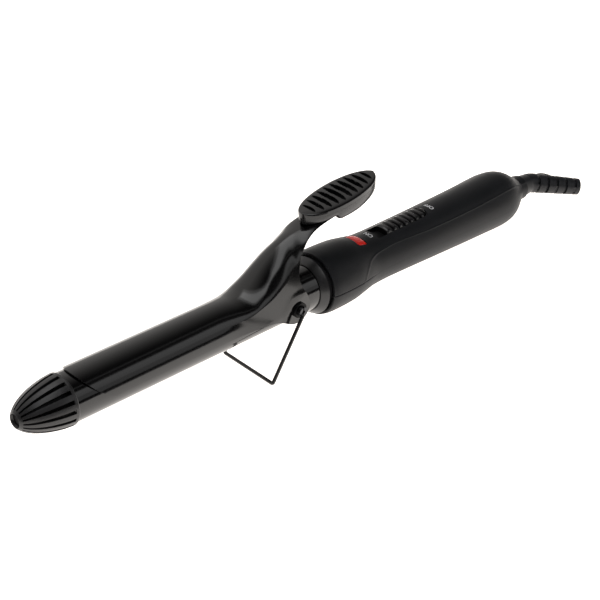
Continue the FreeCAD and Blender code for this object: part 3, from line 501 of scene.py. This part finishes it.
def make_thumb_rest():
    """Grooved lid, and under it the body that takes the end of the lever."""
    rows = []
    for along in round_spread(REST_HALF, 300):
        half = leaf_half_width(along)
        row = [Vector((along, -half, LID_EDGE))]
        for turn in spread(-1.0, 1.0, 60):
            share = math.sin(turn * QUARTER)
            rim = 1 - abs(share) ** 14
            crown = 0.35 * (1 - share ** 2)
            height = -1.0 + 0.65 * rim + crown * 0.9
            row.append(Vector((along, half * share, height - groove_depth(along, half * share))))
        row += [Vector((along, half, LID_EDGE)), Vector((along, half * 0.995, LID_BOTTOM)),
                Vector((along, -half * 0.995, LID_BOTTOM)), Vector((along, -half, LID_EDGE))]
        rows.append(row)
    rest_piece("thumb_rest_lid", rows, rest_gloss, ["thumb_rest_top"], 40)

    rows = []
    for along in round_spread(BODY_END, 120):
        half = leaf_half_width(along, BODY_HALF, BODY_WIDTH)
        low = between(UNDERSIDE, along)
        wall = [(half * (1 - tuck), BODY_TOP + (low - BODY_TOP) * share) for share, tuck in WALL]
        foot, level = wall[-1]
        ring = [Vector((along, -y, z)) for y, z in wall]
        ring += [Vector((along, foot * 0.5 * k, level)) for k in (-1, 0, 1)]
        ring += [Vector((along, y, z)) for y, z in reversed(wall)]
        ring.append(ring[0].copy())
        rows.append(ring)
    rest_piece("thumb_rest_body", rows, rest_body, ["thumb_rest_base"], 38)


make_thumb_rest()

# ---------------------------------------------------------------- stand

def tube(name, points, radius, body, material, replaced):
    """Round wire along points, as a mesh with closed ends."""
    round_steps = 20
    build = bmesh.new()
    rings = []
    side = None
    for index, point in enumerate(points):
        ahead = points[min(index + 1, len(points) - 1)] - points[max(index - 1, 0)]
        ahead.normalize()
        if side is None:
            side = ahead.orthogonal().normalized()
        side = (side - ahead * side.dot(ahead)).normalized()
        other = ahead.cross(side)
        rings.append([build.verts.new(point + radius * (
            side * math.cos(math.tau * k / round_steps)
            + other * math.sin(math.tau * k / round_steps))) for k in range(round_steps)])
    for first, second in zip(rings, rings[1:]):
        for k in range(round_steps):
            after = (k + 1) % round_steps
            build.faces.new((first[k], first[after], second[after], second[k]))
    build.faces.new(rings[0][::-1])
    build.faces.new(rings[-1])
    piece(name, mesh_of(name, build), body, material, replaced, sharp=60)


def bent_route(corners, radii, steps=14):
    """Points along straight runs joined by tangent arcs."""
    route = [corners[0]]
    for index in range(1, len(corners) - 1):
        corner = corners[index]
        before = (corners[index - 1] - corner).normalized()
        after = (corners[index + 1] - corner).normalized()
        half = before.angle(after) / 2
        tangent = radii[index] / math.tan(half)
        centre = corner + (before + after).normalized() * radii[index] / math.sin(half)
        first, last = corner + before * tangent - centre, corner + after * tangent - centre
        for step in range(steps + 1):
            route.append(centre + first.slerp(last, step / steps))
    route.append(corners[-1])
    return route


LEAN = math.radians(26.6)
REACH, WIRE = 41.7, 1.0


def stand_point(down, across):
    """Point of the leaning stand, from its pivot."""
    return Vector((HINGE.x - down * math.sin(LEAN), across, HINGE.z - down * math.cos(LEAN)))


def make_stand():
    """One bent wire: two legs hooked into the studs and a bar across the table."""
    corners = [stand_point(*p) for p in ((0, -14.0), (0, -21.0), (REACH, -19.3), (REACH, 19.3),
                                         (0, 21.0), (0, 14.0))]
    tube("stand_bail", bent_route(corners, [0, 2.6, 2.0, 2.0, 2.6, 0]), WIRE, "stand",
         stand_paint, ["stand_wire"])


make_stand()

# ---------------------------------------------------------------- handle

# Radius of the handle by station, and the angle of its inlaid panel's edge in degrees.
HANDLE = ((187, 17.2), (190, 17.8), (195, 17.96), (202, 17.85), (209, 17.4), (216, 16.3),
          (223.5, 15.05), (230.5, 14.62), (238, 14.5), (252.6, 14.7), (276, 15.2), (300, 15.7),
          (316, 16.05), (331, 16.5), (338, 16.4), (343, 15.7), (347, 14.4), (350, 12.9),
          (353, 11.2), (356, 9.5), (358.2, 8.2), (359.2, 7.5), (364.5, 7.3))
PANEL = ((210.5, 90), (211.5, 82), (213.5, 72), (217.5, 58), (222, 51.5), (227, 48), (234, 46),
         (241, 45), (255, 47.5), (269, 50), (299, 50), (331, 47), (346, 44.5), (356, 43),
         (370, 42))
HANDLE_FRONT, HANDLE_REAR, HANDLE_WALL = 187.0, 364.5, 1.8
BEAD_HEIGHT, BEAD_WIDTH = 0.24, 0.42
PARTING_DEPTH, PARTING_WIDTH = 0.3, 0.3
FAR_AWAY = 99.0


def handle_rise(x):
    """Height of the handle's middle above its axis, which lifts a little towards the rear."""
    return 0.55 * smooth((x - 300) / 40) * (1 - smooth((x - 348) / 11))


def panel_distance(x, angle):
    """Distance in millimetres from a point of the handle to the edge of its inlaid panel."""
    nearest = FAR_AWAY
    radius = between(HANDLE, x)
    for (x0, a0), (x1, a1) in zip(PANEL_FINE, PANEL_FINE[1:]):
        if min(x0, x1) - 3 > x or max(x0, x1) + 3 < x:
            continue
        ax, ay = x - x0, (angle - a0) * radius
        bx, by = x1 - x0, (a1 - a0) * radius
        t = min(max((ax * bx + ay * by) / (bx * bx + by * by), 0.0), 1.0)
        nearest = min(nearest, math.hypot(ax - bx * t, ay - by * t))
    return nearest


def panel_fine():
    """The panel's edge in short steps, with its angles in radians."""
    lengths = [0.0]
    for (x0, a0), (x1, a1) in zip(PANEL, PANEL[1:]):
        lengths.append(lengths[-1] + math.hypot(x1 - x0, math.radians(a1 - a0) * 16))
    xs = list(zip(lengths, (p[0] for p in PANEL)))
    angles = list(zip(lengths, (math.radians(p[1]) for p in PANEL)))
    return [(between(xs, s), between(angles, s)) for s in spread(0.0, lengths[-1], 90)]


PANEL_FINE = panel_fine()


def handle_radius(x, angle):
    """Radius of the handle at a station and an angle from its top."""
    radius = between(HANDLE, x)
    away = panel_distance(x, abs(angle)) if abs(angle) < 1.62 else FAR_AWAY
    radius += BEAD_HEIGHT * math.exp(-(away / BEAD_WIDTH) ** 2)
    parting = abs(abs(angle) - QUARTER) * radius
    fade = 1 - smooth((x - 212) / 14)
    return radius - PARTING_DEPTH * fade * math.exp(-(parting / PARTING_WIDTH) ** 2)


def solid_box(low, high, rounding):
    """Cutter with rounded upright corners, in the iron's axes."""
    build = bmesh.new()
    bmesh.ops.create_cube(build, size=1.0)
    for vert in build.verts:
        vert.co = Vector([low[i] + (high[i] - low[i]) * (vert.co[i] + 0.5) for i in range(3)])
    upright = [e for e in build.edges
               if abs((e.verts[0].co - e.verts[1].co).normalized().z) > 0.9]
    bmesh.ops.bevel(build, geom=upright, offset=rounding, segments=8, affect="EDGES", profile=0.5)
    mesh = mesh_of("block", build)
    mesh.transform(IRON)
    return add_object("block", mesh)


def make_handle_half(name, first, last, replaced):
    """Shell of the handle between two angles, drawn finely at its edges and along the bead."""
    stations = sorted(set(spread(HANDLE_FRONT, 189.4, 6) + spread(189.4, 345, 200)
                          + spread(345, HANDLE_REAR, 44)))
    edge = [0.0, 0.006, 0.014, 0.024, 0.04]
    fine = spread(math.radians(36), math.radians(48), 26)
    inner = (spread(0.06, fine[0], 18)[:-1] + fine
             + spread(fine[-1], math.pi - fine[-1], 44)[1:-1]
             + [math.pi - e for e in reversed(fine)]
             + spread(math.pi - fine[0], math.pi - 0.06, 18)[1:])
    turns = edge + inner + [math.pi - e for e in reversed(edge)]
    angles = [first + (last - first) * turn / math.pi for turn in turns]
    rows = []
    for station in stations:
        row = []
        for angle in angles:
            radius = handle_radius(station, angle if angle <= math.pi else angle - math.tau)
            row.append(Vector((station, radius * math.sin(angle),
                               radius * math.cos(angle) + handle_rise(station))))
        rows.append(row)
    build = bmesh.new()
    grid(build, rows)
    shell = piece(name, mesh_of(name, build), "handle", handle_plastic,
                  replaced, sharp=48)
    thicken(shell, HANDLE_WALL)
    return shell


top_shell = make_handle_half("handle_upper", -QUARTER, QUARTER, ["handle_top_shell"])
make_handle_half("handle_lower", QUARTER, QUARTER * 3, ["handle_bottom_shell"])
cut_by(top_shell, [solid_box((240.0, -5.0, 8), (274.4, 5.0, 20), 4.6),
                   solid_box((232.2, -5.0, 8), (256.0, 5.0, 20), 0.5),
                   solid_box((215.7, -5.9, 8), (222.5, 5.9, 20), 1.4)])
top_shell.data.set_sharp_from_angle(angle=math.radians(48))
piece("slot_floor", lathe("slot_floor", [(228, 0.5), (228, 12.3), (279, 12.6), (279, 0.5)], 96),
      "handle", black_plastic, ["switch_body"])

piece("collar", lathe("collar", [
    (181.0, 12.6), (181.0, 13.0), (181.4, 13.4), (184.2, 15.7), (184.6, 15.9), (184.75, 15.4),
    (184.75, 14.6), (195.0, 14.6), (195.0, 12.6)], 176),
    "handle", collar_plastic, ["collar_ring"])

# ---------------------------------------------------------------- switch and lamp

def make_knob():
    """Thumb slider: straight front, rounded rear, crowned top with grooves across it."""
    front, rear, half, foot = 239.4, 273.9, 4.7, 11.7
    ribs, rib_pitch = 7, 4.5
    stations = sorted(set(spread(front, front + 0.8, 4) + spread(front + 0.8, rear - half, 170)
                          + [rear - half + half * math.sin(a) for a in spread(0, QUARTER, 20)]))
    build = bmesh.new()
    rows = []
    for station in stations:
        tail = max(station - (rear - half), 0.0)
        width = math.sqrt(max(half ** 2 - tail ** 2, 0.0))
        nose = smooth((station - front) / 1.6)
        top = 15.95 - 0.55 * (1 - nose) - 0.35 * smooth((station - 270) / 5)
        dip = 0.0
        for rib in range(ribs):
            away = abs(station - (front + 4.6 + rib_pitch * rib))
            dip = max(dip, 1.5 * smooth(2.2 * (1 - away / 1.5)))
        row = [Vector((station, -width, foot))]
        for share in spread(-1.0, 1.0, 26):
            drop = 0.95 * abs(share) ** 2.2 + 0.5 * abs(share) ** 12
            row.append(Vector((station, width * share, top - drop - dip)))
        row += [Vector((station, width, foot)), Vector((station, -width, foot))]
        rows.append(row)
    grid(build, rows)
    build.faces.new([v for v in build.verts if abs(v.co.x - front) < 1e-3])
    bmesh.ops.remove_doubles(build, verts=build.verts[:], dist=0.005)
    piece("switch_knob", mesh_of("switch_knob", build), "switch",
          slider_plastic, ["switch_slider"], sharp=42)


def make_lens():
    """Domed and lightly faceted lamp lens across the handle, in a shallow bed."""
    middle, half_length, half_width, foot = 219.1, 3.3, 5.8, 11.0
    build = bmesh.new()
    rows = []
    for x in spread(-1.0, 1.0, 18):
        station = middle + half_length * x
        radius = between(HANDLE, station) - 0.5
        row = [Vector((station, -half_width, foot))]
        for across in spread(-half_width, half_width, 58):
            lift = 0.75 * (1 - abs(x) ** 4) * (1 - abs(across / half_width) ** 8)
            facet = 0.12 * math.cos(across * 6) * math.cos(x * 9)
            base = math.sqrt(radius ** 2 - across ** 2)
            row.append(Vector((station, across, base + lift + facet)))
        row += [Vector((station, half_width, foot)), Vector((station, -half_width, foot))]
        rows.append(row)
    made = grid(build, rows)
    for row in (made[0], made[-1]):
        build.faces.new(row[:-1])
    bmesh.ops.remove_doubles(build, verts=build.verts[:], dist=0.005)
    piece("power_lamp", mesh_of("power_lamp", build), "handle", lens_red,
          ["lamp_lens"], sharp=50)


make_knob()
make_lens()


MARK_HEIGHT, PAINT_RISE = 3.7, 0.03


def mark(name, words, station):
    """Painted word across the handle, read from the cord end."""
    curve = bpy.data.curves.new(name, "FONT")
    curve.body = words
    curve.size = 1.0
    curve.extrude = 0.012
    curve.offset = 0.005
    curve.align_x = "CENTER"
    curve.align_y = "CENTER"
    text = add_object(name + "_outline", curve)
    bpy.context.view_layer.update()
    mesh = bpy.data.meshes.new_from_object(
        text.evaluated_get(bpy.context.evaluated_depsgraph_get()))
    bpy.data.objects.remove(text)
    radius = between(HANDLE, station)
    for vert in mesh.vertices:
        x, y, z = vert.co
        across = x * MARK_HEIGHT
        level = math.sqrt(radius ** 2 - across ** 2) + z * 3 + PAINT_RISE
        vert.co = Vector((station - y * MARK_HEIGHT, across, level))
    piece(name, mesh, "handle", mark_paint)


mark("mark_on", "ON", 229.2)
mark("mark_off", "OFF", 279.3)

# ---------------------------------------------------------------- floor, camera and light

def flat_mesh(name, corners):
    """One four-cornered face."""
    mesh = bpy.data.meshes.new(name)
    mesh.from_pydata(corners, [], [(0, 1, 2, 3)])
    return mesh


floor_mesh = flat_mesh("floor", [(-8, -8, 0), (8, -8, 0), (8, 8, 0), (-8, 8, 0)])
floor = add_object("floor", floor_mesh)
floor.location.z = -0.0004
floor_paint = surface("floor_paint", (0.90, 0.90, 0.90), 0.9, grain=300, bump=0.02, tint=0.01)
floor_shader = floor_paint.node_tree.nodes["Principled BSDF"]
floor_shader.inputs["Emission Color"].default_value = (1.0, 0.94, 0.88, 1)
floor_shader.inputs["Emission Strength"].default_value = 1.3
floor_shader.inputs["Specular IOR Level"].default_value = 0.0
floor_mesh.materials.append(floor_paint)

# The black card is seen only as the thin dark line it makes in the glossy surfaces.
card_mesh = flat_mesh("card", [(-0.3, -0.25, 0), (0.9, -0.25, 0),
                               (0.9, -0.25, 0.055), (-0.3, -0.25, 0.055)])
card = add_object("card", card_mesh)
card_mesh.materials.append(surface("card_black", (0.001, 0.001, 0.001), 0.9, specular=0.0))
card.visible_camera = False
card.visible_diffuse = False
card.visible_shadow = False

# The room glows from its far side and is dark towards the camera.
world = bpy.data.worlds.new("room")
world.use_nodes = True
room, room_links = world.node_tree.nodes, world.node_tree.links
direction = room.new("ShaderNodeTexCoord")
facing = room.new("ShaderNodeVectorMath")
facing.operation = "DOT_PRODUCT"
facing.inputs[1].default_value = (0.0, 1.2, 0.433)
room_links.new(direction.outputs["Generated"], facing.inputs[0])
limit = room.new("ShaderNodeClamp")
room_links.new(facing.outputs["Value"], limit.inputs["Value"])
falloff = room.new("ShaderNodeMath")
falloff.operation = "POWER"
falloff.inputs[1].default_value = 1.7
room_links.new(limit.outputs["Result"], falloff.inputs[0])
glow = room.new("ShaderNodeMath")
glow.operation = "MULTIPLY_ADD"
glow.inputs[1].default_value = 0.75
glow.inputs[2].default_value = 0.03
room_links.new(falloff.outputs["Value"], glow.inputs[0])
room["Background"].inputs["Color"].default_value = (1.0, 0.97, 0.94, 1)
room_links.new(glow.outputs["Value"], room["Background"].inputs["Strength"])
bpy.context.scene.world = world
bpy.context.scene.view_settings.view_transform = "Standard"


def panel_light(name, place, target, width, height, strength, glossy=True, turn=0.0):
    """Rectangular lamp facing a target, as bright for any size."""
    light = bpy.data.lights.new(name, "AREA")
    light.shape = "RECTANGLE"
    light.size = width
    light.size_y = height
    light.energy = strength * math.pi * width * height
    lamp = add_object(name, light)
    lamp.location = place
    lamp.rotation_mode = "QUATERNION"
    aim = (Vector(place) - Vector(target)).to_track_quat("Z", "Y")
    lamp.rotation_quaternion = Quaternion((0, 0, 1), turn) @ aim
    lamp.visible_glossy = glossy


# Stacked softboxes give the near light its fading edges.
panel_light("softbox_low", (1.5, -1.88, 0.40), (0, 0, 0.40), 1.7, 0.70, 0.5)
panel_light("softbox_middle", (1.5, -1.88, 0.62), (0, 0, 0.62), 2.1, 1.14, 0.8)
panel_light("softbox_tall", (1.5, -1.88, 0.90), (0, 0, 0.90), 2.5, 1.70, 0.9)
panel_light("strip_high", (0.95, -1.2, 1.72), (0, 0, 0.05), 2.2, 0.10, 0.35)
panel_light("overhead_softbox", (-0.12, -0.3, 1.5), (-0.12, -0.3, 0), 0.5, 2.3, 1.3, turn=-0.32)
panel_light("overhead_halo", (-0.12, -0.3, 1.52), (-0.12, -0.3, 0), 0.85, 2.6, 0.7, turn=-0.32)
panel_light("overhead_fill", (-0.3, 0.2, 2.4), (0, 0, 0), 2.6, 2.6, 0.4, glossy=False)

camera_data = bpy.data.cameras.new("camera")
camera_data.sensor_width = 36.0
camera_data.lens = 84.85
camera_data.clip_start = 0.02
camera_data.clip_end = 40.0
camera = add_object("camera", camera_data)
# The camera's own axes and its place, in the iron's axes.
view_axes = Matrix(((0.7078, -0.7034, 0.0676), (0.3340, 0.4172, 0.8454),
                    (-0.6228, -0.5756, 0.5300))).transposed()
camera.rotation_mode = "QUATERNION"
camera.rotation_quaternion = (AXES @ view_axes).to_quaternion()
camera.location = ORIGIN + AXES @ (Vector((-282.168, -426.539, 385.540)) * MM)
bpy.context.scene.camera = camera
